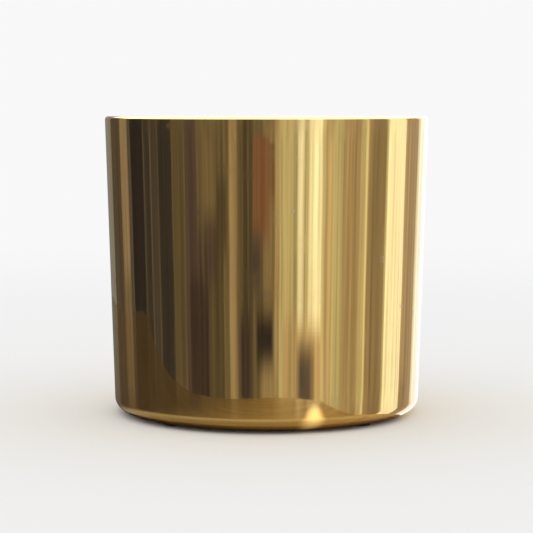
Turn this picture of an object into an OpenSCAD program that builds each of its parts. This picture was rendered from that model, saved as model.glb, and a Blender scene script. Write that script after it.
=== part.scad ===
// Tapered indoor planter: a spun sheet-brass pot with a wired rim, its floor pads,
// and the drip saucer and grow pot that stand inside it.
// Origin: centre of the pot on the floor it stands on. +Z up, -Y is the front. Millimetres.

/* [Pot] */
// Height from the floor to the top of the rim
pot_h = 230; // [205:1:300]
// Outside diameter at the rim
rim_d = 250; // [240:1:300]
// Outside diameter where the wall runs into the bottom corner
base_d = 237; // [228:1:246]
// Thickness of the sheet brass
sheet_t = 1; // [0.8:0.1:1.4]
// Outside radius of the bottom corner
corner_r = 10; // [6:1:13]

/* [Rim] */
// Diameter of the steel wire that the rim is rolled around
rim_wire_d = 3; // [2:0.5:4]
// Angle at which the rolled edge ends, counted round the wire from straight out
curl_end = 288; // [240:1:300]

/* [Base] */
// Outside diameter of the pushed-up panel in the middle of the base
panel_d = 170; // [150:1:174]
// Height of the pushed-up panel above the ring that carries the pot
panel_rise = 3; // [2:0.5:3.5]
// Thickness of the stick-on floor pads
pad_h = 2.5; // [1.5:0.5:4]
// Diameter of the floor pads
pad_d = 16; // [12:1:17]
// Diameter of the circle that the pads are set out on
pad_circle_d = 197; // [194:1:200]

/* [Saucer] */
// Outside diameter of the saucer's rim
saucer_d = 210; // [206:1:218]
// Height of the saucer
saucer_h = 24; // [20:1:34]
// Thickness of the saucer's wall
saucer_t = 1.8; // [1.5:0.1:2.4]
// Height of the ribs that carry the grow pot
rib_h = 4; // [3:0.5:6]
// Number of ribs
rib_count = 6; // [4:1:10]

/* [Grow pot] */
// Outside diameter of the grow pot's lip
lip_d = 232; // [230:1:236]
// Outside diameter of the grow pot's foot
grow_foot_d = 176; // [164:1:178]
// Distance from the rim of the brass pot down to the lip of the grow pot
lip_drop = 13; // [5:1:30]
// Thickness of the grow pot's wall
grow_t = 1.6; // [1.2:0.1:2]
// Height of the collar under the lip
collar_h = 28; // [20:1:40]
// Diameter of the drain holes
drain_d = 10; // [6:1:14]
// Drain holes in the outer circle
drain_count = 8; // [6:1:10]

/* [Hidden] */
$fn = 96;
arc_step = 9;
eps = 0.05;

// Brass shell: the wall is the straight line that touches the corner bend and the rim bead.
bead_r = rim_wire_d / 2 + sheet_t;
bead_c = [rim_d / 2 - bead_r, pot_h - bead_r];
corner_c = [base_d / 2 - corner_r, pad_h + corner_r];
centres = bead_c - corner_c;
wall_tilt = acos((corner_r - bead_r) / norm(centres)) - atan2(centres[1], centres[0]);
wall_out = [cos(wall_tilt), -sin(wall_tilt)];
wire_gap = 0.05;
step_w = 6;
panel_r = panel_d / 2;
floor_top = pad_h + sheet_t;

// Saucer: its foot ring stands on the pot's floor, just outside the pushed-up panel.
foot_ring_r = panel_r + step_w + 2;
foot_ring_t = 3;
foot_ring_h = panel_rise + 0.5;
saucer_floor_r = foot_ring_r + foot_ring_t + 3;
saucer_floor_z = floor_top + foot_ring_h + saucer_t;
saucer_roll_r = 1.6;
saucer_top = [saucer_d / 2 - saucer_roll_r, floor_top + saucer_h - saucer_roll_r];
rib_w = 2;
rib_in = 22;

// Grow pot: it stands on the saucer's ribs and stops below the brass rim.
grow_z = saucer_floor_z + rib_h;
grow_top = pot_h - lip_drop;
grow_foot_r = grow_foot_d / 2;
skirt_h = 5;
grow_floor_t = 2;
collar_z = grow_top - collar_h;
lip_w = 6;
lip_t = 2;
lip_turn = 7;
collar_top_r = lip_d / 2 - lip_w;
collar_low_r = collar_top_r - 1.2;
shoulder = 2;
body_top_r = collar_low_r - shoulder;
inner_drain_count = 4;
notch_w = 9;
notch_h = 3.5;

// Points along an arc in the profile plane, from angle a1 round to angle a2.
function arc(centre, r, a1, a2) =
    let (steps = ceil(abs(a2 - a1) / arc_step))
    [for (i = [0:steps]) let (a = a1 + (a2 - a1) * i / steps) centre + r * [cos(a), sin(a)]];

// Half-section of the spun sheet: base panel, carrying ring, corner bend, wall and rolled rim.
module shell_profile() {
    bend = sheet_t * tan(atan(panel_rise / step_w) / 2);
    outside = concat(
        [[0, pad_h + panel_rise], [panel_r, pad_h + panel_rise], [panel_r + step_w, pad_h]],
        arc(corner_c, corner_r, -90, -wall_tilt),
        arc(bead_c, bead_r, -wall_tilt, curl_end)
    );
    inside = concat(
        arc(bead_c, bead_r - sheet_t, curl_end, -wall_tilt),
        arc(corner_c, corner_r - sheet_t, -wall_tilt, -90),
        [
            [panel_r + step_w + bend, floor_top],
            [panel_r + bend, floor_top + panel_rise],
            [0, floor_top + panel_rise]
        ]
    );
    polygon(concat(outside, inside));
}

module pot_shell() {
    color([0.80, 0.62, 0.27])
        rotate_extrude()
            shell_profile();
}

// Steel wire inside the rolled rim.
module rim_wire() {
    color([0.62, 0.63, 0.65])
        rotate_extrude()
            translate(bead_c)
                circle(r = rim_wire_d / 2 - wire_gap);
}

// One stick-on rubber pad under the carrying ring, at an angle round the pot.
module foot_pad(angle) {
    chamfer = 0.6;
    color([0.16, 0.15, 0.14])
        rotate(angle)
            translate([pad_circle_d / 2, 0, 0]) {
                cylinder(h = chamfer, r1 = pad_d / 2 - chamfer, r2 = pad_d / 2);
                translate([0, 0, chamfer])
                    cylinder(h = pad_h - chamfer, r = pad_d / 2);
            }
}

// Half-section of the saucer: foot ring, floor, flared wall and rolled edge.
module saucer_profile() {
    polygon([
        [foot_ring_r, floor_top],
        [foot_ring_r + foot_ring_t, floor_top],
        [foot_ring_r + foot_ring_t, saucer_floor_z - eps],
        [foot_ring_r, saucer_floor_z - eps]
    ]);
    polygon([
        [0, saucer_floor_z - saucer_t],
        [saucer_floor_r, saucer_floor_z - saucer_t],
        saucer_top + [saucer_t / 2, 0],
        saucer_top - [saucer_t / 2, 0],
        [saucer_floor_r - saucer_t, saucer_floor_z],
        [0, saucer_floor_z]
    ]);
    translate(saucer_top)
        circle(r = saucer_roll_r);
}

module drip_saucer() {
    color([0.20, 0.19, 0.18])
        union() {
            rotate_extrude()
                saucer_profile();
            for (i = [0:rib_count - 1])
                rotate(i * 360 / rib_count)
                    translate([rib_in, -rib_w / 2, saucer_floor_z - eps])
                        cube([grow_foot_r + 1.5 - rib_in, rib_w, rib_h + eps]);
        }
}

// Half-section of the grow pot: skirt, floor, tapered wall, collar and turned-down lip.
module grow_profile() {
    floor_z = grow_z + skirt_h;
    polygon([
        [0, floor_z],
        [grow_foot_r - grow_t, floor_z],
        [grow_foot_r - grow_t, grow_z],
        [grow_foot_r, grow_z],
        [body_top_r, collar_z],
        [collar_low_r, collar_z + shoulder],
        [collar_top_r, grow_top - lip_t],
        [lip_d / 2 - grow_t, grow_top - lip_t],
        [lip_d / 2 - grow_t, grow_top - lip_turn],
        [lip_d / 2, grow_top - lip_turn],
        [lip_d / 2, grow_top - 0.6],
        [lip_d / 2 - 0.6, grow_top],
        [collar_top_r - grow_t, grow_top],
        [collar_low_r - grow_t, collar_z + shoulder],
        [body_top_r - grow_t, collar_z],
        [grow_foot_r - grow_t + 0.4, floor_z + grow_floor_t],
        [0, floor_z + grow_floor_t]
    ]);
}

// Drain holes in the floor and the notches in the skirt that let the water out sideways.
module grow_drains() {
    hole_h = grow_floor_t + 2;
    for (i = [0:drain_count - 1])
        rotate((i + 0.5) * 360 / drain_count) {
            translate([grow_foot_r * 0.72, 0, grow_z + skirt_h - 1])
                cylinder(h = hole_h, d = drain_d);
            translate([grow_foot_r - 3 * grow_t, -notch_w / 2, grow_z - 1])
                cube([6 * grow_t, notch_w, notch_h + 1]);
        }
    for (i = [0:inner_drain_count - 1])
        rotate(i * 360 / inner_drain_count)
            translate([grow_foot_r * 0.34, 0, grow_z + skirt_h - 1])
                cylinder(h = hole_h, d = drain_d);
}

module grow_pot() {
    color([0.13, 0.12, 0.12])
        difference() {
            rotate_extrude()
                grow_profile();
            grow_drains();
        }
}

pot_shell();
rim_wire();
foot_pad(225);  // foot_pad_front_left
foot_pad(315);  // foot_pad_front_right
foot_pad(135);  // foot_pad_back_left
foot_pad(45);  // foot_pad_back_right
drip_saucer();
grow_pot();
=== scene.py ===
# %% [markdown]
# # A polished brass planter pot
# The pot is a bucket of sheet brass, spun over a wooden former on a lathe. Its rim is
# rolled around a steel wire, so the thin edge is stiff and safe to hold. Four rubber pads
# lift it off the floor. A loose saucer and a loose black grow pot stand inside, because
# brass must not hold water. The sizes come from a fixed model of the parts, the frame.
# Each new piece replaces a plain solid of that frame and stays where that solid is.

# %% Load the frame
import math

import bpy
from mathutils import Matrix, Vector


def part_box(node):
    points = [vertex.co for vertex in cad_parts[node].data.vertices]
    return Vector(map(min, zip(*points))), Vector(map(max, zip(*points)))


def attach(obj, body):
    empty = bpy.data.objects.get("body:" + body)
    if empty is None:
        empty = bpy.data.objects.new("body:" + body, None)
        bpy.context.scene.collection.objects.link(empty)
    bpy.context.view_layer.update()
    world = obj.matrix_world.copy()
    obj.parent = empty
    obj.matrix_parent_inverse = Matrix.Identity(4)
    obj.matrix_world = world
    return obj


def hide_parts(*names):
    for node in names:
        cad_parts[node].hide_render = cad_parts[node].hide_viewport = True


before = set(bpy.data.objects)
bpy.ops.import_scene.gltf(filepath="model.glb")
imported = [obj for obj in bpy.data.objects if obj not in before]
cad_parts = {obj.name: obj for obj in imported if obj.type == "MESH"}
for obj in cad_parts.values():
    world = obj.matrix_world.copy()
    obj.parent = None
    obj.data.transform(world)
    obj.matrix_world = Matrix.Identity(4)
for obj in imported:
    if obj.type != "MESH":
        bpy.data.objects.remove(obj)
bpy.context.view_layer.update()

# %% [markdown]
# ## Sizes
# A spun pot is described by a few radii and heights. The outer ones are read from the
# frame's boxes, so the pieces keep their places if the frame changes. They could be typed in
# as well, but then two lists of sizes would have to agree. MM turns millimetres into
# Blender's metres.

# %% Read the driving sizes from the frame
MM = 0.001
shell_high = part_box("pot_shell")[1]
saucer_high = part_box("drip_saucer")[1]
grow_low, grow_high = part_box("grow_pot")

SHEET = 1 * MM
RIM_R = shell_high.x
RIM_Z = shell_high.z
PAD_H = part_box("foot_pad_front_left")[1].z
BASE_R = 118.5 * MM
CORNER_R = 10 * MM
BEAD_R = 2.5 * MM
print(f"rim radius {RIM_R / MM:.1f} mm, height {RIM_Z / MM:.1f} mm, pads {PAD_H / MM:.1f} mm")

# %% [markdown]
# ## How a round piece is drawn and turned
# Almost everything here is a solid of revolution. On a real lathe one outline makes the
# whole shape, and Blender's Spin tool works the same way. A Screw modifier would do it too,
# but Spin leaves plain mesh that can be edited at once. The outline is a chain of points in
# the plane y = 0. Its corners are rounded by arcs that touch both neighbouring lines.

# %% Helpers for the outline
ARC_STEP = math.radians(9)


def arc(centre, radius, start, end):
    """Points on an arc in the outline's plane, with the angles in degrees."""
    first, last = math.radians(start), math.radians(end)
    steps = max(2, math.ceil(abs(last - first) / ARC_STEP))
    angles = [first + (last - first) * i / steps for i in range(steps + 1)]
    return [(centre[0] + radius * math.cos(a), centre[1] + radius * math.sin(a)) for a in angles]


def rounded(corners):
    """An outline from (r, z, rounding) corners in millimetres, as points in metres."""
    flat = [Vector((r * MM, z * MM)) for r, z, rounding in corners]
    points = []
    for i, (r, z, rounding) in enumerate(corners):
        if rounding == 0:
            points.append(tuple(flat[i]))
            continue
        back = (flat[i - 1] - flat[i]).normalized()
        ahead = (flat[i + 1] - flat[i]).normalized()
        half = back.angle(ahead) / 2
        radius = rounding * MM
        centre = flat[i] + (back + ahead).normalized() * radius / math.sin(half)
        begin = flat[i] + back * radius / math.tan(half) - centre
        end = flat[i] + ahead * radius / math.tan(half) - centre
        start = math.degrees(math.atan2(begin.y, begin.x))
        turn = math.degrees(math.atan2(begin.x * end.y - begin.y * end.x, begin.dot(end)))
        points += arc(centre, radius, start, start + turn)
    return points


print(f"arcs take a point every {math.degrees(ARC_STEP):.0f} degrees")

# %% [markdown]
# ## The lathe
# Operators act on whatever is selected, so the selection is cleared first. The lathe helper
# shrinks a small plane to one vertex, extrudes it from point to point along the outline,
# spins the outline through a full turn, and closes the seam and the pole by merging doubles.
# The spin can turn the skin inside out, so the normals are made to point outwards last.
# A finished piece keeps its object at the origin, so pieces are moved and turned in edit
# mode. With no window, a rotation needs its centre given.

# %% Helpers for picking and naming


def clear_selection():
    if bpy.context.object and bpy.context.object.mode != "OBJECT":
        bpy.ops.object.mode_set(mode="OBJECT")
    bpy.ops.object.select_all(action="DESELECT")


def pick(*pieces):
    """Selects these pieces and nothing else. The last one is the active one."""
    clear_selection()
    for piece in pieces:
        piece.select_set(True)
        bpy.context.view_layer.objects.active = piece


def named(name):
    """Names the object that an operator has just added."""
    piece = bpy.context.object
    piece.name = name
    piece.data.name = name
    return piece


def move_mesh(piece, offset):
    """Moves the whole mesh of a piece, and leaves its object at the origin."""
    pick(piece)
    bpy.ops.object.mode_set(mode="EDIT")
    bpy.ops.mesh.select_all(action="SELECT")
    bpy.ops.transform.translate(value=offset)
    bpy.ops.object.mode_set(mode="OBJECT")
    return piece


def turn_mesh(piece, angle):
    """Turns the whole mesh of a piece round the pot's axis."""
    pick(piece)
    bpy.ops.object.mode_set(mode="EDIT")
    bpy.ops.mesh.select_all(action="SELECT")
    bpy.ops.transform.rotate(value=angle, orient_axis="Z", center_override=(0, 0, 0))
    bpy.ops.object.mode_set(mode="OBJECT")
    return piece


# %% Turn an outline into a piece
SAME_POINT = 0.002 * MM


def turned(name, outline, steps=256):
    """A round piece, spun from an outline of (r, z) points in metres."""
    clear_selection()
    bpy.ops.mesh.primitive_plane_add(size=MM)
    piece = named(name)
    bpy.ops.object.mode_set(mode="EDIT")
    bpy.ops.mesh.merge(type="CENTER")
    bpy.ops.transform.translate(value=(outline[0][0], 0, outline[0][1]))
    for (r0, z0), (r1, z1) in zip(outline, outline[1:]):
        step = (r1 - r0, 0, z1 - z0)
        bpy.ops.mesh.extrude_region_move(TRANSFORM_OT_translate={"value": step})
    bpy.ops.mesh.select_all(action="SELECT")
    bpy.ops.mesh.remove_doubles(threshold=SAME_POINT)
    bpy.ops.mesh.spin(steps=steps, angle=math.tau, center=(0, 0, 0), axis=(0, 0, 1))
    bpy.ops.mesh.select_all(action="SELECT")
    bpy.ops.mesh.remove_doubles(threshold=SAME_POINT)
    bpy.ops.mesh.normals_make_consistent(inside=False)
    bpy.ops.object.mode_set(mode="OBJECT")
    print(f"{name}: {len(outline)} outline points, {len(piece.data.polygons)} faces")
    return piece


# %% Helpers for finishing a mesh
def apply_modifier(piece, kind, **settings):
    """Adds one modifier with its settings and applies it."""
    pick(piece)
    modifier = piece.modifiers.new(kind.title(), kind)
    for key, value in settings.items():
        setattr(modifier, key, value)
    bpy.ops.object.modifier_apply(modifier=modifier.name)


def smooth(piece, angle=35):
    """Smooth shading, with sharp edges where faces meet at more than the angle."""
    pick(piece)
    bpy.ops.object.shade_smooth_by_angle(angle=math.radians(angle))


# %% [markdown]
# ## The spun shell
# The sheet starts at the middle of the base as a pushed-up panel, runs down to the ring that
# carries the pot, turns the bottom corner, climbs the slightly flared wall and curls inwards
# around the wire. Both skins could be drawn, but a sheet is equally thick all over, so only
# the outer skin is drawn here. A Solidify modifier then gives it its thickness on the
# inside, and a material slot of its own for that side. The wall is the line that touches
# both the corner arc and the rim bead, which gives its tilt.

# %% Draw the shell's outline
PANEL_R = 85 * MM
PANEL_RISE = 3 * MM
STEP_W = 6 * MM
BASE_BEND = 2.5
CURL_END = 288
WALL_RINGS = 12

bead = Vector((RIM_R - BEAD_R, RIM_Z - BEAD_R))
corner = Vector((BASE_R - CORNER_R, PAD_H + CORNER_R))
between = bead - corner
tilt = math.acos((CORNER_R - BEAD_R) / between.length) - math.atan2(between.y, between.x)
tilt = math.degrees(tilt)

base_line = rounded([
    (0, (PAD_H + PANEL_RISE) / MM, 0),
    (PANEL_R / MM, (PAD_H + PANEL_RISE) / MM, BASE_BEND),
    ((PANEL_R + STEP_W) / MM, PAD_H / MM, BASE_BEND),
    (corner.x / MM, PAD_H / MM, 0),
])
corner_line = arc(corner, CORNER_R, -90, -tilt)
bead_line = arc(bead, BEAD_R, -tilt, CURL_END)
foot, top = Vector(corner_line[-1]), Vector(bead_line[0])
wall_line = [tuple(foot.lerp(top, i / WALL_RINGS)) for i in range(1, WALL_RINGS)]
print(f"the wall leans out by {tilt:.2f} degrees")

# %% Turn the shell and give it its thickness
brass_shell = turned("brass_shell", base_line + corner_line[1:] + wall_line + bead_line)
apply_modifier(brass_shell, "SOLIDIFY", thickness=SHEET, offset=-1, use_even_offset=True,
               material_offset=1)
smooth(brass_shell)
print("shell faces with both skins:", len(brass_shell.data.polygons))

# %% [markdown]
# ## The drip saucer
# A moulded saucer has one wall thickness all over, a foot ring under it and a rolled edge
# that stiffens it. Its six ribs hold the grow pot out of the water. The outline runs from
# the axis out along the underside and back along the floor. Ribs could be extruded from the
# floor, but a turned floor has fan-shaped faces, so bevelled bars are joined to it by a
# Boolean union, and the whole is one moulding. Outlines are in millimetres from here on.

# %% Draw the saucer's outline
MOULDING_STEPS = 192
FLOOR_Z = (PAD_H + SHEET) / MM
FOOT_RING_IN, FOOT_RING_OUT = 93, 96
SAUCER_FLOOR_R = 99
SAUCER_ROLL = 1.6
ROLL_R = saucer_high.x / MM - SAUCER_ROLL
ROLL_Z = saucer_high.z / MM - SAUCER_ROLL
ROLL_NECK, ROLL_DROP, ROLL_FROM, ROLL_TO = 0.9, 1.4, -56, 236
PLATE_Z = FLOOR_Z + 3.5
PLATE_T = 1.8
PLATE_TOP = PLATE_Z + PLATE_T


def raised_ring(radius, floor_z, height, rounding):
    """Outline corners of a low ring on a floor, drawn from outside to inside."""
    return [(radius + 1, floor_z, rounding), (radius + 0.6, floor_z + height, rounding),
            (radius - 0.6, floor_z + height, rounding), (radius - 1, floor_z, rounding)]


def gate_mark(radius, floor_z, height):
    """Outline corners of the pip that the mould's inlet leaves in the middle."""
    return [(radius, floor_z, 0), (radius - 0.6, floor_z + height, 0.3), (0, floor_z + height, 0)]


underside = rounded([
    (0, PLATE_Z, 0), (FOOT_RING_IN, PLATE_Z, 0.6), (FOOT_RING_IN, FLOOR_Z, 0.5),
    (FOOT_RING_OUT, FLOOR_Z, 0.5), (FOOT_RING_OUT, PLATE_Z, 0.6), (SAUCER_FLOOR_R, PLATE_Z, 1.2),
    (ROLL_R + ROLL_NECK, ROLL_Z - ROLL_DROP, 0),
])
roll = arc((ROLL_R * MM, ROLL_Z * MM), SAUCER_ROLL * MM, ROLL_FROM, ROLL_TO)
inside = rounded([
    (ROLL_R - ROLL_NECK, ROLL_Z - ROLL_DROP, 0), (SAUCER_FLOOR_R - PLATE_T, PLATE_TOP, 1.5),
    *raised_ring(69, PLATE_TOP, 0.4, 0),
    *gate_mark(3, PLATE_TOP, 0.5),
])
saucer = turned("saucer_moulding", underside + roll[1:-1] + inside, MOULDING_STEPS)


# %% Helpers for bars, copies and Booleans
def bar(name, size, centre, bevel):
    """A bar with rounded edges, with its size and centre in millimetres."""
    clear_selection()
    bpy.ops.mesh.primitive_cube_add(size=MM)
    piece = named(name)
    bpy.ops.object.mode_set(mode="EDIT")
    bpy.ops.transform.resize(value=size)
    bpy.ops.transform.translate(value=Vector(centre) * MM)
    bpy.ops.mesh.bevel(offset=bevel * MM, segments=3)
    bpy.ops.object.mode_set(mode="OBJECT")
    return piece


def ring_of_copies(piece, count):
    """Copies a piece evenly round the pot's axis, each with its own mesh, and joins them."""
    copies = [piece]
    for i in range(1, count):
        pick(piece)
        bpy.ops.object.duplicate(linked=False)
        copies.append(turn_mesh(bpy.context.object, math.tau * i / count))
    pick(*copies, piece)
    bpy.ops.object.join()
    return piece


def combine(body, tool, operation):
    """Joins the tool to the body, or cuts it out, and removes the tool."""
    apply_modifier(body, "BOOLEAN", object=tool, operation=operation, solver="EXACT")
    bpy.data.objects.remove(tool)
    print(f"{body.name}: {len(body.data.polygons)} faces after {operation.lower()}")


# %% Add the ribs
RIB_FROM, RIB_TO, RIB_H, RIB_W = 22, 89.5, 4, 2
RIB_SUNK = 1
RIB_COUNT = 6
rib = bar("ribs", (RIB_TO - RIB_FROM, RIB_W, RIB_H + RIB_SUNK),
          ((RIB_FROM + RIB_TO) / 2, 0, PLATE_TOP + (RIB_H - RIB_SUNK) / 2), bevel=0.5)
combine(saucer, ring_of_copies(rib, RIB_COUNT), "UNION")
smooth(saucer)

# %% [markdown]
# ## The grow pot
# This is the thin black pot that a plant is sold in. It is moulded in one piece: a skirt
# that lifts its floor, a tapered wall, a shoulder and collar that let empty pots stack, and
# a lip turned down to lift it by. Small steps on the inside mark how full it is. Holes could
# be left out of the floor's faces, but punching them through the turned body with a Boolean
# difference keeps the outline simple. The stacking lugs are added under the shoulder.

# %% Draw the grow pot's outline
GROW_Z = grow_low.z / MM
GROW_TOP = grow_high.z / MM
GROW_FLOOR = GROW_Z + 5
GROW_FLOOR_TOP = GROW_FLOOR + 2
GROW_FOOT_R = 88
BODY_R, SHOULDER_R, COLLAR_R = 106.8, 108.8, 110
LIP_R = grow_high.x / MM
LIP_Z = GROW_TOP - 7
COLLAR_Z = GROW_TOP - 28
FILL_LINE_Z = 160
WALL = 1.6

grow_outside = [
    (0, GROW_FLOOR, 0), (GROW_FOOT_R - WALL, GROW_FLOOR, 1), (GROW_FOOT_R - WALL, GROW_Z, 0.5),
    (GROW_FOOT_R, GROW_Z, 0.6), (BODY_R, COLLAR_Z, 1.5), (SHOULDER_R, COLLAR_Z + 2, 1.5),
    (COLLAR_R, GROW_TOP - 2, 1), (LIP_R - WALL, GROW_TOP - 2, 0.8), (LIP_R - WALL, LIP_Z, 0.5),
    (LIP_R, LIP_Z, 0.5), (LIP_R, GROW_TOP, 1.2),
]
grow_inside = [
    (COLLAR_R - WALL, GROW_TOP, 0.8),
    (109.2 - WALL, COLLAR_Z + 16, 0), (108.9 - WALL, COLLAR_Z + 15.5, 0.2),
    (108.6 - WALL, COLLAR_Z + 2, 1.2), (BODY_R - WALL, COLLAR_Z, 1.2),
    (103.7 - WALL, FILL_LINE_Z, 0), (103.4 - WALL, FILL_LINE_Z - 0.5, 0.2),
    (103.0 - WALL, FILL_LINE_Z - 5, 0), (GROW_FOOT_R - 1.2, GROW_FLOOR_TOP, 3),
    *raised_ring(75, GROW_FLOOR_TOP, 0.5, 0.3),
    *raised_ring(45, GROW_FLOOR_TOP, 0.5, 0.3),
    *gate_mark(4, GROW_FLOOR_TOP, 0.6),
]
grow_pot = turned("grow_pot_moulding", rounded(grow_outside + grow_inside), MOULDING_STEPS)

# %% Cut the drain holes
HOLE_R = 5
HOLE_FLARE = 0.8
PUNCH_LOW, FLARE_FROM, PUNCH_HIGH = GROW_FLOOR - 1, GROW_FLOOR + 1.6, GROW_FLOOR + 2.4
PUNCH_STEPS = 32
OUTER_HOLES, INNER_HOLES = 8, 4
OUTER_CIRCLE, INNER_CIRCLE = 0.72 * GROW_FOOT_R, 0.34 * GROW_FOOT_R
HALF_STEP = math.radians(22.5)


def hole_punch(name, radius_out):
    """A round punch that flares at the top, so it leaves a softened rim."""
    punch = turned(name, rounded([
        (0, PUNCH_LOW, 0), (HOLE_R, PUNCH_LOW, 0), (HOLE_R, FLARE_FROM, 0),
        (HOLE_R + HOLE_FLARE, PUNCH_HIGH, 0), (0, PUNCH_HIGH, 0),
    ]), PUNCH_STEPS)
    return move_mesh(punch, (radius_out * MM, 0, 0))


outer_hole = turn_mesh(hole_punch("outer_holes", OUTER_CIRCLE), HALF_STEP)
combine(grow_pot, ring_of_copies(outer_hole, OUTER_HOLES), "DIFFERENCE")
inner_hole = hole_punch("inner_holes", INNER_CIRCLE)
combine(grow_pot, ring_of_copies(inner_hole, INNER_HOLES), "DIFFERENCE")

# %% Cut the notches in the skirt and add the stacking lugs
NOTCH_SIZE = (8, 9, 5.5)
NOTCH_CENTRE = (GROW_FOOT_R - 1, 0, GROW_Z + 0.75)
LUG_SIZE = (4, 1.4, 16)
LUG_CENTRE = (104.4, 0, COLLAR_Z - 10)
LUG_COUNT = 12
notch = bar("notches", NOTCH_SIZE, NOTCH_CENTRE, bevel=0.8)
combine(grow_pot, ring_of_copies(turn_mesh(notch, HALF_STEP), OUTER_HOLES), "DIFFERENCE")
lug = bar("lugs", LUG_SIZE, LUG_CENTRE, bevel=0.5)
combine(grow_pot, ring_of_copies(lug, LUG_COUNT), "UNION")
smooth(grow_pot)

# %% [markdown]
# ## The floor pads
# Each pad is a button of rubber with a softened lower edge and a shallow cup that grips the
# floor. A disc of adhesive foam holds it to the brass. A pad could be turned like the
# pieces above, but a cylinder with inset and moved faces is quicker for so small a part. One
# pad is modelled and copied to the other three places, each copy with its own mesh.

# %% Model one pad
PAD_R = 8
PAD_CIRCLE_R = 98.5
FOAM_T = 0.4
# Each step insets the face and then moves it up or down. Together they make the cup.
CUP_STEPS = [(1.0, 0), (0.5, 0.35), (1.4, 0), (0.4, -0.3), (0.7, 0), (0.4, 0.3)]


def inset_face(piece, facing, steps):
    """Insets the largest flat face on one side, then moves it, for each (inset, move) step."""
    pick(piece)
    bpy.ops.object.mode_set(mode="EDIT")
    bpy.ops.mesh.select_mode(type="FACE")
    bpy.ops.mesh.select_all(action="DESELECT")
    bpy.ops.object.mode_set(mode="OBJECT")
    facing_faces = [f for f in piece.data.polygons if f.normal.z * facing > 0.99]
    max(facing_faces, key=lambda f: f.area).select = True
    bpy.ops.object.mode_set(mode="EDIT")
    for inset, move in steps:
        bpy.ops.mesh.inset(thickness=inset * MM, depth=0)
        bpy.ops.transform.translate(value=(0, 0, move * MM))
    bpy.ops.object.mode_set(mode="OBJECT")


def disc(name, radius, low, high):
    """A disc on the axis, with its heights in millimetres."""
    clear_selection()
    bpy.ops.mesh.primitive_cylinder_add(vertices=96, radius=radius * MM,
                                        depth=(high - low) * MM)
    return move_mesh(named(name), (0, 0, (high + low) / 2 * MM))


rubber = disc("floor_pad_front_left", PAD_R, 0, PAD_H / MM - FOAM_T)
apply_modifier(rubber, "BEVEL", width=0.5 * MM, segments=4, limit_method="ANGLE")
inset_face(rubber, -1, CUP_STEPS)
foam = disc("foam", PAD_R - 0.4, PAD_H / MM - FOAM_T, PAD_H / MM)
print("rubber faces:", len(rubber.data.polygons))

# %% [markdown]
# ## Shared effects
# Several finishes need the same effects: cloudy patches, turning marks that run round the
# axis, moulded grain, and dust that has settled on what faces up. Their nodes could be
# copied into every material, but a change would then be made many times. So each effect is
# a node group with named inputs, built once and placed in each material with its own values.


# %% Helpers for node trees
def add_node(tree, kind, **settings):
    node = tree.nodes.new("ShaderNode" + kind)
    for key, value in settings.items():
        setattr(node, key, value)
    return node


def feed(tree, target, value):
    """Links an output to a socket, or sets the socket to a number or a colour."""
    if isinstance(value, bpy.types.NodeSocket):
        tree.links.new(value, target)
    elif isinstance(value, tuple) and target.type == "RGBA":
        target.default_value = (*value, 1)
    else:
        target.default_value = value


def calculate(tree, operation, *values):
    """A Math node. Its values are outputs or numbers."""
    node = add_node(tree, "Math", operation=operation)
    for socket, value in zip(node.inputs, values):
        feed(tree, socket, value)
    return node.outputs[0]


def apart(tree, vector):
    """The X, Y and Z of a vector."""
    node = add_node(tree, "SeparateXYZ")
    feed(tree, node.inputs[0], vector)
    return node.outputs


def noise(tree, vector, scale, detail=2.0, roughness=0.5, distortion=0.0):
    """A Noise Texture node's value."""
    node = add_node(tree, "TexNoise", noise_dimensions="3D")
    feed(tree, node.inputs["Vector"], vector)
    feed(tree, node.inputs["Scale"], scale)
    feed(tree, node.inputs["Detail"], detail)
    feed(tree, node.inputs["Roughness"], roughness)
    feed(tree, node.inputs["Distortion"], distortion)
    return node.outputs["Fac"]


def stretched(tree, vector, scale):
    """A Mapping node that stretches a pattern's place along the axes."""
    node = add_node(tree, "Mapping", vector_type="POINT")
    feed(tree, node.inputs["Vector"], vector)
    node.inputs["Scale"].default_value = scale
    return node.outputs[0]


def map_range(tree, value, low, high, to_low=0.0, to_high=1.0, smooth_step=True):
    """A Map Range node, smooth at both ends unless told otherwise."""
    kind = "SMOOTHSTEP" if smooth_step else "LINEAR"
    node = add_node(tree, "MapRange", interpolation_type=kind)
    for name, number in (("Value", value), ("From Min", low), ("From Max", high),
                         ("To Min", to_low), ("To Max", to_high)):
        feed(tree, node.inputs[name], number)
    return node.outputs[0]


def mix_colour(tree, factor, first, second, blend="MIX"):
    """A Mix node on colours."""
    node = add_node(tree, "Mix", data_type="RGBA", blend_type=blend)
    feed(tree, node.inputs["Factor"], factor)
    for name, colour in (("A", first), ("B", second)):
        socket = [s for s in node.inputs if s.name == name and s.type == "RGBA"][0]
        feed(tree, socket, colour)
    return [s for s in node.outputs if s.type == "RGBA"][0]


def effect(name, inputs, outputs):
    """A new node group with named sockets. Gives the tree and its input and output nodes."""
    tree = bpy.data.node_groups.new(name, "ShaderNodeTree")
    for label, kind, default in inputs:
        socket = tree.interface.new_socket(label, in_out="INPUT", socket_type="NodeSocket" + kind)
        if default is not None:
            socket.default_value = default
    for label, kind in outputs:
        tree.interface.new_socket(label, in_out="OUTPUT", socket_type="NodeSocket" + kind)
    given = tree.nodes.new("NodeGroupInput").outputs
    result = tree.nodes.new("NodeGroupOutput").inputs
    print(f"{name}: takes {', '.join(given.keys()[:-1])}; gives {result.keys()[0]}")
    return tree, given, result


def place(tree, group, **values):
    """Puts an effect into a material, with its own values. Words join with underscores."""
    node = add_node(tree, "Group", node_tree=group)
    for key, value in values.items():
        feed(tree, node.inputs[key.replace("_", " ")], value)
    return node.outputs


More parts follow.
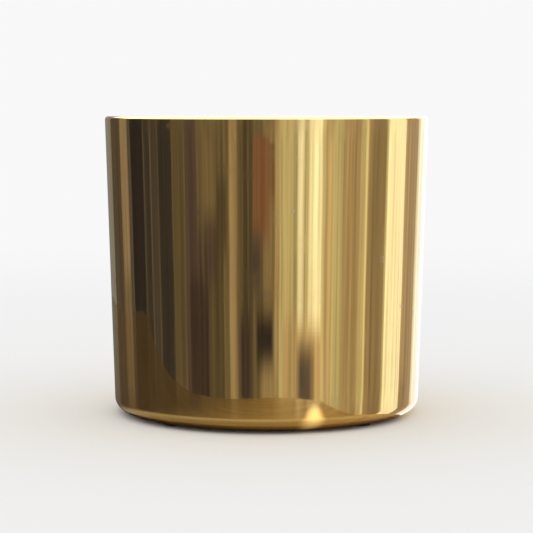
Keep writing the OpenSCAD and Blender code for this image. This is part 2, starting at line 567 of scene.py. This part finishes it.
# %% Cloudy patches
patches, given, result = effect(
    "cloudy_patches",
    [("Place", "Vector", None), ("Scale", "Float", 20.0), ("From", "Float", 0.4),
     ("To", "Float", 0.6)],
    [("Mask", "Float")])
clouds = noise(patches, given["Place"], given["Scale"], 4.0, 0.55)
feed(patches, result["Mask"], map_range(patches, clouds, given["From"], given["To"]))

# %% [markdown]
# ## Turning marks
# Turning marks are very fine lines that run round the axis, left by the polishing mop or the
# mould's lathe. They need a coordinate that changes fast along the outline and slowly round
# the axis. Radius plus height does that on a wall and on a floor alike, and a weak share of
# x and y breaks the lines into long arcs.

# %% Build the turning marks
marks, given, result = effect(
    "turning_marks",
    [("Place", "Vector", None), ("Lines per metre", "Float", 900.0), ("Arcs", "Float", 8.0)],
    [("Height", "Float")])
at = apart(marks, given["Place"])
squares = [calculate(marks, "MULTIPLY", at[side], at[side]) for side in ("X", "Y")]
radius_here = calculate(marks, "SQRT", calculate(marks, "ADD", *squares))
along = calculate(marks, "ADD", radius_here, at["Z"])
line_place = add_node(marks, "CombineXYZ")
for side, value, lines_here in (("X", at["X"], given["Arcs"]), ("Y", at["Y"], given["Arcs"]),
                                ("Z", along, given["Lines per metre"])):
    feed(marks, line_place.inputs[side], calculate(marks, "MULTIPLY", value, lines_here))
feed(marks, result["Height"], noise(marks, line_place.outputs[0], 1.0, 3.0))

# %% Moulded grain
grain, given, result = effect(
    "moulded_grain",
    [("Place", "Vector", None), ("Grains per metre", "Float", 900.0)],
    [("Height", "Float")])
cells = add_node(grain, "TexVoronoi", feature="SMOOTH_F1")
feed(grain, cells.inputs["Vector"], given["Place"])
feed(grain, cells.inputs["Scale"], given["Grains per metre"])
cells.inputs["Smoothness"].default_value = 0.7
feed(grain, result["Height"], cells.outputs["Distance"])

# %% Settled dust
dust, given, result = effect(
    "settled_dust",
    [("Place", "Vector", None), ("Amount", "Float", 0.5)],
    [("Mask", "Float")])
facing = apart(dust, add_node(dust, "NewGeometry").outputs["Normal"])
upward = map_range(dust, facing["Z"], 0.2, 0.95)
speckled = map_range(dust, noise(dust, given["Place"], 160.0, 6.0, 0.7), 0.42, 0.68)
feed(dust, result["Mask"],
     calculate(dust, "MULTIPLY", calculate(dust, "MULTIPLY", upward, speckled), given["Amount"]))


# %% [markdown]
# ## Brass
# Polished brass is a metal with a warm yellow mirror colour. Air dulls it in faint brown
# clouds, hands leave soft smears that scatter the mirror, and the mop leaves hairlines round
# the axis. The sheet is also never quite true: long shallow waves bend the reflections a
# little, as on every spun pot. Watering leaves small dried spots with a darker ring. The
# inside was never mopped, so it is duller and browner. One even colour and roughness would
# give a flawless mirror that looks like plastic foil, so each of these marks is laid over
# the brass as a weak mask.


# %% Helpers for materials
def new_material(name, metallic, coat=0.0, coat_roughness=0.1):
    """A material, its tree, its shader and the place of each point in the frame."""
    material = bpy.data.materials.new(name)
    material.use_nodes = True
    tree = material.node_tree
    shader = tree.nodes["Principled BSDF"]
    shader.inputs["Metallic"].default_value = metallic
    shader.inputs["Coat Weight"].default_value = coat
    shader.inputs["Coat Roughness"].default_value = coat_roughness
    place_here = add_node(tree, "TexCoord").outputs["Object"]
    return material, tree, shader, place_here


def bump(tree, height, distance, under=None):
    """A Bump node with its depth in millimetres, on top of another bump if given."""
    node = add_node(tree, "Bump")
    node.inputs["Distance"].default_value = distance * MM
    feed(tree, node.inputs["Height"], height)
    if under is not None:
        feed(tree, node.inputs["Normal"], under)
    return node.outputs[0]


def waviness(tree, here):
    """Long shallow waves, taller than wide, as a spinning roller leaves them."""
    return noise(tree, stretched(tree, here, (1, 1, 0.35)), 28.0, 1.0)


# %% Dried water spots
spots, given, result = effect(
    "water_spots",
    [("Place", "Vector", None), ("Spots per metre", "Float", 45.0), ("Size", "Float", 0.16)],
    [("Mask", "Float")])
drops = add_node(spots, "TexVoronoi", feature="F1")
feed(spots, drops.inputs["Vector"], given["Place"])
feed(spots, drops.inputs["Scale"], given["Spots per metre"])
chance = add_node(spots, "SeparateColor")
feed(spots, chance.inputs[0], drops.outputs["Color"])
own_size = calculate(spots, "MULTIPLY", given["Size"], chance.outputs[0])
inner = calculate(spots, "MULTIPLY", own_size, 0.75)
disc_mask = map_range(spots, drops.outputs["Distance"], own_size, inner)
ring_mask = map_range(spots, drops.outputs["Distance"], calculate(spots, "MULTIPLY", own_size, 0.5),
                      inner, 0.35, 1.0)
feed(spots, result["Mask"], calculate(spots, "MULTIPLY", disc_mask, ring_mask))

# %% Polished brass, outside
BRASS = (0.90, 0.65, 0.215)
TARNISH_AND_LOW_DARK = (0.74, 0.47, 0.14)
WATER_MARK = (0.62, 0.56, 0.42)
LOW_BAND = 0.030
HANDLED_BAND = 0.030
MIRROR_ROUGHNESS = 0.035
CLOUD_STAIN, LOW_DARKENING, SPOT_STAIN = 0.35, 0.5, 0.35
WAVE_DEPTH, HAIRLINE_DEPTH = 0.12, 0.0012

polished, tree, shader, here = new_material("polished_brass", metallic=1.0, coat=0.25,
                                            coat_roughness=0.45)
clouded = place(tree, patches, Place=here, Scale=14.0, From=0.46, To=0.78)["Mask"]
smeared = place(tree, patches, Place=here, Scale=33.0, From=0.50, To=0.72)["Mask"]
level = apart(tree, here)["Z"]
# Darker and a little rougher towards the bottom: below LOW_BAND the brass blends towards the dark
# colour, fully at the pads.
low_down = map_range(tree, level, LOW_BAND, PAD_H)
tarnish_and_low_darkening = calculate(tree, "MAXIMUM", calculate(tree, "MULTIPLY", clouded, CLOUD_STAIN),
                  calculate(tree, "MULTIPLY", low_down, LOW_DARKENING))
spotted = place(tree, spots, Place=here)["Mask"]
tarnished_and_darkened = mix_colour(tree, tarnish_and_low_darkening, BRASS, TARNISH_AND_LOW_DARK)
marked = calculate(tree, "MULTIPLY", spotted, SPOT_STAIN)
feed(tree, shader.inputs["Base Color"], mix_colour(tree, marked, tarnished_and_darkened, WATER_MARK))
handled = map_range(tree, level, RIM_Z - HANDLED_BAND, RIM_Z - 0.004)
# Each mark and how much roughness it adds.
dull = calculate(tree, "MULTIPLY", smeared, 0.05)
for mask, share in ((low_down, 0.05), (handled, 0.03), (spotted, 0.15)):
    dull = calculate(tree, "ADD", dull, calculate(tree, "MULTIPLY", mask, share))
feed(tree, shader.inputs["Roughness"], calculate(tree, "ADD", dull, MIRROR_ROUGHNESS))
hairlines = place(tree, marks, Place=here, Lines_per_metre=1400.0, Arcs=10.0)["Height"]
waved = bump(tree, waviness(tree, here), WAVE_DEPTH)
feed(tree, shader.inputs["Normal"], bump(tree, hairlines, HAIRLINE_DEPTH, waved))
print("polished brass:", len(tree.nodes), "nodes")

# %% Unpolished brass, inside
RAW_BRASS = (0.72, 0.50, 0.17)
BROWNED = (0.50, 0.31, 0.10)
INSIDE_DUST = (0.35, 0.30, 0.22)
raw_brass, tree, shader, here = new_material("unpolished_brass", metallic=1.0)
clouded = place(tree, patches, Place=here, Scale=22.0, From=0.42, To=0.66)["Mask"]
dusty = place(tree, dust, Place=here, Amount=0.5)["Mask"]
brown = mix_colour(tree, clouded, RAW_BRASS, BROWNED)
feed(tree, shader.inputs["Base Color"], mix_colour(tree, dusty, brown, INSIDE_DUST))
feed(tree, shader.inputs["Roughness"], map_range(tree, clouded, 0, 1, 0.24, 0.42))
rings = place(tree, marks, Place=here, Lines_per_metre=500.0, Arcs=5.0)["Height"]
feed(tree, shader.inputs["Normal"], bump(tree, rings, 0.02))
print("unpolished brass:", len(tree.nodes), "nodes")

# %% [markdown]
# ## Plastic, rubber, foam and steel
# Moulded plastic is never one black: the grain in the mould, a little chalky bloom and dust
# on what faces up all change it. The plastics, the rubber and the foam differ only in
# colour, gloss and grain, so one helper builds all four from the shared effects. Steel wire
# shows drawing lines and a dull zinc skin.

# %% Moulded finishes
PALE_DUST = (0.27, 0.22, 0.17)


def moulded(name, colour, bloom, roughness, grains, depth, dustiness):
    """A moulded plastic or rubber, with bloom, grain and settled dust."""
    material, tree, shader, here = new_material(name, metallic=0.0)
    faded = place(tree, patches, Place=here, Scale=26.0, From=0.38, To=0.70)["Mask"]
    dusty = place(tree, dust, Place=here, Amount=dustiness)["Mask"]
    body = mix_colour(tree, faded, colour, bloom)
    feed(tree, shader.inputs["Base Color"], mix_colour(tree, dusty, body, PALE_DUST))
    matt = map_range(tree, faded, 0, 1, roughness, roughness + 0.16)
    feed(tree, shader.inputs["Roughness"],
         calculate(tree, "ADD", matt, calculate(tree, "MULTIPLY", dusty, 0.3)))
    pebbles = place(tree, grain, Place=here, Grains_per_metre=grains)["Height"]
    flow = place(tree, marks, Place=here, Lines_per_metre=260.0, Arcs=4.0)["Height"]
    feed(tree, shader.inputs["Normal"],
         bump(tree, pebbles, depth, bump(tree, flow, depth * 1.5)))
    print(f"{name}: {len(tree.nodes)} nodes")
    return material


grow_plastic = moulded("grow_pot_plastic", (0.018, 0.017, 0.017), (0.026, 0.025, 0.024),
                       roughness=0.34, grains=1500.0, depth=0.02, dustiness=0.55)
saucer_plastic = moulded("saucer_plastic", (0.040, 0.036, 0.033), (0.062, 0.056, 0.050),
                         roughness=0.42, grains=1100.0, depth=0.03, dustiness=0.5)
pad_rubber = moulded("pad_rubber", (0.020, 0.018, 0.017), (0.040, 0.037, 0.034),
                     roughness=0.62, grains=2200.0, depth=0.02, dustiness=0.2)
pad_foam = moulded("pad_foam", (0.42, 0.41, 0.38), (0.55, 0.54, 0.50),
                   roughness=0.85, grains=3000.0, depth=0.05, dustiness=0.1)

# %% Steel wire
FRESH_ZINC = (0.56, 0.57, 0.58)
DULL_ZINC = (0.42, 0.42, 0.42)
steel, tree, shader, here = new_material("steel_wire", metallic=1.0)
zinc = place(tree, patches, Place=here, Scale=90.0, From=0.4, To=0.6)["Mask"]
feed(tree, shader.inputs["Base Color"], mix_colour(tree, zinc, FRESH_ZINC, DULL_ZINC))
feed(tree, shader.inputs["Roughness"], map_range(tree, zinc, 0, 1, 0.3, 0.45))
drawn = place(tree, marks, Place=here, Lines_per_metre=3000.0, Arcs=3.0)["Height"]
feed(tree, shader.inputs["Normal"], bump(tree, drawn, 0.01))
print("steel wire:", len(tree.nodes), "nodes")

# %% [markdown]
# ## Put each piece on its body
# On the real pot the shell carries the wire and the pads, and the saucer and the grow pot
# lift out. Parenting would do this too, but the frame has bodies for it. A piece rides on
# the body of the part that it replaces, gets its own materials, and hides the plain
# solid. The rim wire's own solid is a true ring and stays, with the steel finish.


# %% Finish the pieces
def finish_piece(piece, materials, node, body):
    for material in materials:
        piece.data.materials.append(material)
    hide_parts(node)
    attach(piece, body)


finish_piece(brass_shell, [polished, raw_brass], "pot_shell", "pot")
finish_piece(saucer, [saucer_plastic], "drip_saucer", "saucer")
finish_piece(grow_pot, [grow_plastic], "grow_pot", "liner")
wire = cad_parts["rim_wire"]
wire.data.materials.clear()
wire.data.materials.append(steel)
print("finished:", brass_shell.name, saucer.name, grow_pot.name, wire.name)

# %% Place the four pads
rubber.data.materials.append(pad_rubber)
foam.data.materials.append(pad_foam)
smooth(rubber)
smooth(foam)
pick(foam, rubber)
bpy.ops.object.join()
PLACES = {"front_left": (-1, -1), "front_right": (1, -1), "back_left": (-1, 1), "back_right": (1, 1)}
pads = {"front_left": rubber}
for corner_name in list(PLACES)[1:]:
    pick(rubber)
    bpy.ops.object.duplicate(linked=False)
    pads[corner_name] = named("floor_pad_" + corner_name)
away = PAD_CIRCLE_R * math.sqrt(0.5) * MM
for corner_name, (side, depth_side) in PLACES.items():
    move_mesh(pads[corner_name], (side * away, depth_side * away, 0))
    finish_piece(pads[corner_name], [], "foot_pad_" + corner_name, "pot")
print("pads:", [p.name for p in pads.values()])

# %% [markdown]
# ## The studio
# A mirror has no look of its own: polished brass shows the room. Matt things and the floor
# get plain, even, soft light. The brass sees a studio of flat cards: a dark curtain on the
# left, a pale wall on the right, tall strip lights and the gaps between them. Angles run
# round the horizon from the front of the pot, with right positive. A later card covers an
# earlier one. The cards stand in for one real room: their edges and brightness were measured
# from how such a pot mirrors it, then rounded and corrected. So another room only
# needs other cards. Real planes and lamps would do, but they would light the floor unevenly,
# and cards painted in the world do not. A weak noise, stretched upwards, gives them the
# folds of cloth. The top of the room is one large soft light, which draws the bright rim.

# %% The tall cards round the pot
# Tints of the things in the room, as shares of red, green and blue.
DAYLIGHT = (0.93, 1.0, 1.3)
PAPER = (1.0, 1.0, 1.0)
WOOD = (1.18, 1.0, 0.98)
PLUM = (1.12, 1.0, 1.5)
MAUVE = (1.3, 1.0, 1.5)
RUST = (1.8, 1.0, 1.0)

# Each card: left and right edge in degrees, brightness and tint.
TALL_CARDS = [
    (-180, -146, 0.25, PAPER), (-146, -127, 0.075, WOOD), (-127, -117, 0.15, WOOD),
    (-117, -113, 0.08, PLUM), (-113, -97, 0.022, PLUM), (-97, -90, 0.044, PLUM),
    (-90, -83, 0.054, PLUM), (-83, -70, 0.038, PLUM), (-70, -60, 0.10, WOOD),
    (-60, -46, 0.072, MAUVE), (-46, -30, 0.09, WOOD), (-30, -26, 0.13, WOOD),
    (-26, -21, 0.28, WOOD), (-21, -17, 0.12, WOOD), (-17, -13, 0.060, WOOD),
    (-13, -9, 0.085, WOOD), (-9, -2, 0.13, WOOD), (-2, 6, 0.20, WOOD),
    (6, 9, 0.34, WOOD), (9, 15, 0.57, PAPER), (15, 19, 0.60, PAPER), (19, 22, 0.44, PAPER),
    (22, 27, 1.00, DAYLIGHT), (27, 30, 0.54, PAPER), (30, 33, 1.15, DAYLIGHT),
    (33, 40, 1.30, DAYLIGHT), (40, 43, 0.62, PAPER), (43, 47, 0.49, WOOD),
    (47, 56, 0.54, PAPER), (56, 66, 0.38, WOOD), (66, 70, 0.33, WOOD),
    (70, 74, 0.54, PAPER), (74, 76.5, 0.95, PAPER), (76.5, 81, 0.32, WOOD),
    (81, 94, 0.25, WOOD), (94, 96, 0.60, PAPER), (96, 117, 1.32, DAYLIGHT),
    (117, 126, 0.38, WOOD), (126, 137, 0.36, WOOD), (137, 141, 0.95, PAPER),
    (141, 180, 1.35, DAYLIGHT),
]
print("tall cards round the pot:", len(TALL_CARDS))

# %% The small cards
# Each card: left and right, low and high edge in degrees, brightness and tint.
SMALL_CARDS = [
    (-127, -117, -6.5, 20, 0.25, WOOD), (-50, -32, -6.5, 20, 0.14, WOOD),
    (-57, -42, -16, -8.2, 0.042, MAUVE), (-46, -36, -8.4, -6.6, 0.06, MAUVE),
    (-35, -28, -7.6, -5.2, 0.075, WOOD), (-9, 2, -7.4, -2.6, 0.12, RUST),
    (2, 6, -4.9, -4.2, 0.07, RUST), (2, 6, -5.9, -5.2, 0.09, RUST),
    (-12, -4, -8.8, -7.2, 0.07, PLUM), (-19, -12, -13, -9.6, 0.048, MAUVE),
    (-7.5, 4.5, -11.2, -9.5, 0.024, PLUM),
    (-4, 7, -14, -11.4, 0.28, WOOD), (12, 21, -20, -9.6, 0.40, WOOD),
    (21, 41, -20, -9.8, 0.55, WOOD), (22, 35, -20, -10.4, 0.22, WOOD),
    (24, 32, -14, -10.8, 0.10, PLUM), (118, 128, -20, -9.8, 0.30, WOOD),
    (46, 170, -95, -34, 0.45, WOOD),
]
print("small cards:", len(SMALL_CARDS))

# %% One card, as a node group
card, given, result = effect(
    "studio_card",
    [("Under", "Color", None), ("Compass", "Float", 0.0), ("Height", "Float", 0.0),
     ("Left", "Float", 0.0), ("Right", "Float", 0.0), ("Low", "Float", -90.0),
     ("High", "Float", 90.0), ("Soft", "Float", 1.0), ("Card", "Color", None)],
    [("Over", "Color")])


def between_edges(tree, angle, low, high, soft):
    """1 between the two edges and 0 outside them, with soft steps."""
    rise = map_range(tree, angle, calculate(tree, "SUBTRACT", low, soft),
                     calculate(tree, "ADD", low, soft))
    fall = map_range(tree, angle, calculate(tree, "SUBTRACT", high, soft),
                     calculate(tree, "ADD", high, soft))
    return calculate(tree, "SUBTRACT", rise, fall)


across = between_edges(card, given["Compass"], given["Left"], given["Right"], given["Soft"])
half_soft = calculate(card, "MULTIPLY", given["Soft"], 0.5)
upright = between_edges(card, given["Height"], given["Low"], given["High"], half_soft)
covered = calculate(card, "MULTIPLY", across, upright)
feed(card, result["Over"], mix_colour(card, covered, given["Under"], given["Card"]))

# %% Stand the cards up
BARE_WALL = (0.3, 0.3, 0.3)
TALL_SOFT, SMALL_SOFT = 1.1, 1.4

world = bpy.data.worlds.new("studio")
bpy.context.scene.world = world
world.use_nodes = True
tree = world.node_tree
tree.nodes.clear()
ray = apart(tree, add_node(tree, "TexCoord").outputs["Generated"])
towards_front = calculate(tree, "MULTIPLY", ray["Y"], -1.0)
compass = calculate(tree, "DEGREES", calculate(tree, "ARCTAN2", ray["X"], towards_front))
height = calculate(tree, "DEGREES", calculate(tree, "ARCSINE", ray["Z"]))


def put_up(under, edges, brightness, tint, **extent):
    """One more card over what is there already."""
    colour = tuple(brightness * share for share in tint)
    return place(tree, card, Under=under, Compass=compass, Height=height, Left=float(edges[0]),
                 Right=float(edges[1]), Card=colour, **extent)["Over"]


room = BARE_WALL
for left, right, brightness, tint in TALL_CARDS:
    room = put_up(room, (left, right), brightness, tint, Soft=TALL_SOFT)
for left, right, low, high, brightness, tint in SMALL_CARDS:
    room = put_up(room, (left, right), brightness, tint, Low=float(low), High=float(high),
                  Soft=SMALL_SOFT)
print("cards in the room:", len(TALL_CARDS) + len(SMALL_CARDS))

# %% Folds, overhead light, and what each kind of ray sees
CEILING = 3.2
SOFT_LIGHT = 0.95
BACKDROP = 0.94
FOLDS_ACROSS, FOLDS_UP = 0.45, 0.07
FOLD_DARK, FOLD_LIGHT = 0.68, 1.28
OVERHEAD_FROM, OVERHEAD_TO = 14.0, 30.0

folds_place = add_node(tree, "CombineXYZ")
feed(tree, folds_place.inputs["X"], calculate(tree, "MULTIPLY", compass, FOLDS_ACROSS))
feed(tree, folds_place.inputs["Y"], calculate(tree, "MULTIPLY", height, FOLDS_UP))
folds = noise(tree, folds_place.outputs[0], 1.0, 4.0, 0.6)
folded = map_range(tree, folds, 0.3, 0.7, FOLD_DARK, FOLD_LIGHT, smooth_step=False)
folded_grey = add_node(tree, "CombineColor")
for channel in folded_grey.inputs[:3]:
    feed(tree, channel, folded)
room = mix_colour(tree, 1.0, room, folded_grey.outputs[0], blend="MULTIPLY")
overhead = map_range(tree, height, OVERHEAD_FROM, OVERHEAD_TO)
mirrored = mix_colour(tree, overhead, room, (CEILING,) * 3)
rays = add_node(tree, "LightPath").outputs
off_matt = calculate(tree, "MINIMUM", rays["Diffuse Depth"], 1.0)
to_cards = calculate(tree, "MULTIPLY", rays["Is Glossy Ray"],
                     calculate(tree, "SUBTRACT", 1.0, off_matt))
seen = mix_colour(tree, to_cards, (SOFT_LIGHT,) * 3, mirrored)
seen = mix_colour(tree, rays["Is Camera Ray"], seen, (BACKDROP,) * 3)
background = add_node(tree, "Background")
feed(tree, background.inputs["Color"], seen)
feed(tree, add_node(tree, "OutputWorld").inputs["Surface"], background.outputs[0])
print("nodes in the world:", len(tree.nodes))

# %% [markdown]
# ## Floor
# The floor is a wide sheet of pale paper that fades into the backdrop. A curved sheet would
# hide its far edge as well, but a plain floor also works for views from behind. The brass
# would mirror it as a plain pale band, so it is hidden from glossy rays.

# %% The floor
FLOOR_SIZE = 60
PAPER_WHITE = 0.93
FADE_FROM, FADE_TO = 0.5, 2.0
clear_selection()
bpy.ops.mesh.primitive_plane_add(size=FLOOR_SIZE)
floor = named("floor")
floor.visible_glossy = False
paper, tree, shader, here = new_material("floor_paper", metallic=0.0)
shader.inputs["Base Color"].default_value = (PAPER_WHITE, PAPER_WHITE, PAPER_WHITE, 1)
shader.inputs["Roughness"].default_value = 0.9
shader.inputs["Specular IOR Level"].default_value = 0
distance = add_node(tree, "VectorMath", operation="LENGTH")
feed(tree, distance.inputs[0], here)
faded = map_range(tree, distance.outputs["Value"], FADE_FROM, FADE_TO)
glow = add_node(tree, "Emission")
feed(tree, glow.inputs["Color"], (BACKDROP,) * 3)
blend = add_node(tree, "MixShader")
feed(tree, blend.inputs[0], faded)
feed(tree, blend.inputs[1], shader.outputs[0])
feed(tree, blend.inputs[2], glow.outputs[0])
feed(tree, tree.nodes["Material Output"].inputs["Surface"], blend.outputs[0])
floor.data.materials.append(paper)
print(f"floor fades out from {FADE_FROM} to {FADE_TO} m")

# %% [markdown]
# ## The table that only the brass sees
# Such a pot stands on a brown table, and its foot mirrors the table's top as a warm band.
# Painting that band on the brass would stay put as the view moves, so a real table top is
# laid under the pot and shown to mirror reflections alone. It is near in front and on the
# right and reaches far to the left, with round corners. Its top carries a painted glint,
# close to the foot, which glows and puts a small highlight on the bottom bend.

# %% Cut the table top to shape
TABLE_SIZE = (0.84, 0.90)
TABLE_TURN = math.radians(-19)
TABLE_CENTRE = (-0.17, 0.29, 0.0002)
TABLE_RIGHT_EDGE = 0.104
TABLE_CORNER = 0.12
clear_selection()
bpy.ops.mesh.primitive_plane_add(size=1)
table = named("mirrored_table")
bpy.ops.object.mode_set(mode="EDIT")
bpy.ops.transform.resize(value=(*TABLE_SIZE, 1))
bpy.ops.mesh.bevel(offset=TABLE_CORNER, segments=10, affect="VERTICES")
bpy.ops.mesh.select_all(action="SELECT")
bpy.ops.transform.rotate(value=-TABLE_TURN, orient_axis="Z", center_override=(0, 0, 0))
bpy.ops.transform.translate(value=TABLE_CENTRE)
bpy.ops.mesh.bisect(plane_co=(TABLE_RIGHT_EDGE, 0, 0), plane_no=(1, 0, 0), clear_outer=True)
bpy.ops.object.mode_set(mode="OBJECT")
corners = [[round(v, 2) for v in c.co.xy] for c in table.data.vertices][::4]
print("table outline:", corners)
table.visible_camera = False
table.visible_diffuse = False
table.visible_shadow = False

# %% Wood for the table top
# Each colour in the shade on the left, and in the daylight on the right.
PALE_GRAIN = ((0.094, 0.065, 0.041), (0.42, 0.30, 0.165))
DARK_GRAIN = ((0.072, 0.048, 0.029), (0.33, 0.225, 0.115))
SHADE_ENDS, DAYLIGHT_FROM = -0.15, 0.09
BOARD_STRETCH = (6, 110, 1)
VARNISH = 0.10

wood, tree, shader, here = new_material("table_top", metallic=0.0)
daylit = map_range(tree, apart(tree, here)["X"], SHADE_ENDS, DAYLIGHT_FROM)
figure = noise(tree, stretched(tree, here, BOARD_STRETCH), 1.0, 4.0, distortion=0.6)
pale = mix_colour(tree, daylit, *PALE_GRAIN)
dark = mix_colour(tree, daylit, *DARK_GRAIN)
grain_line = map_range(tree, figure, 0.40, 0.62)
feed(tree, shader.inputs["Base Color"], mix_colour(tree, grain_line, pale, dark))
shader.inputs["Roughness"].default_value = VARNISH
table.data.materials.append(wood)

# %% The painted glint on the table
GLINT_PLACE = (0.058, -0.145, 0)
GLINT_TURN = math.radians(36)
GLINT_SIZE = (0.016, 0.060, 1)
PAINTED_GLINT_COLOUR = (1.0, 0.97, 0.9)
PAINTED_GLINT_STRENGTH = 1.1

turned_place = add_node(tree, "Mapping", vector_type="TEXTURE")
feed(tree, turned_place.inputs["Vector"], here)
turned_place.inputs["Location"].default_value = GLINT_PLACE
turned_place.inputs["Rotation"].default_value = (0, 0, GLINT_TURN)
turned_place.inputs["Scale"].default_value = GLINT_SIZE
from_glint = add_node(tree, "VectorMath", operation="LENGTH")
feed(tree, from_glint.inputs[0], turned_place.outputs[0])
# Painted glint: the table top glows in a soft oval here, standing in for a lamp's reflection.
glint = map_range(tree, from_glint.outputs["Value"], 1.0, 0.2)
feed(tree, shader.inputs["Emission Color"],
     mix_colour(tree, glint, (0.0, 0.0, 0.0), PAINTED_GLINT_COLOUR))
shader.inputs["Emission Strength"].default_value = PAINTED_GLINT_STRENGTH
print("table top:", len(tree.nodes), "nodes")

# %% [markdown]
# ## Camera
# The camera stands level with the rim and looks slightly down at the middle of the pot.
# From there the rim closes to one bright line. A wide lens close by would make the sides
# lean, and a long lens from further away keeps them nearly upright.

# %% Set up the camera
CAMERA_AWAY = 1.43
AIM_Z = 0.113
LENS = 124
FILM_WIDTH = 36
camera_data = bpy.data.cameras.new("camera")
camera = bpy.data.objects.new("camera", camera_data)
bpy.context.scene.collection.objects.link(camera)
bpy.context.scene.camera = camera
camera.location = (0, -CAMERA_AWAY, RIM_Z)
aim = Vector((0, 0, AIM_Z)) - camera.location
camera.rotation_euler = aim.to_track_quat("-Z", "Y").to_euler()
camera_data.sensor_width = FILM_WIDTH
camera_data.lens = LENS
bpy.context.scene.view_settings.view_transform = "Standard"
print(f"camera {CAMERA_AWAY} m away, {math.degrees(-aim.z / aim.length):.1f} degrees down")
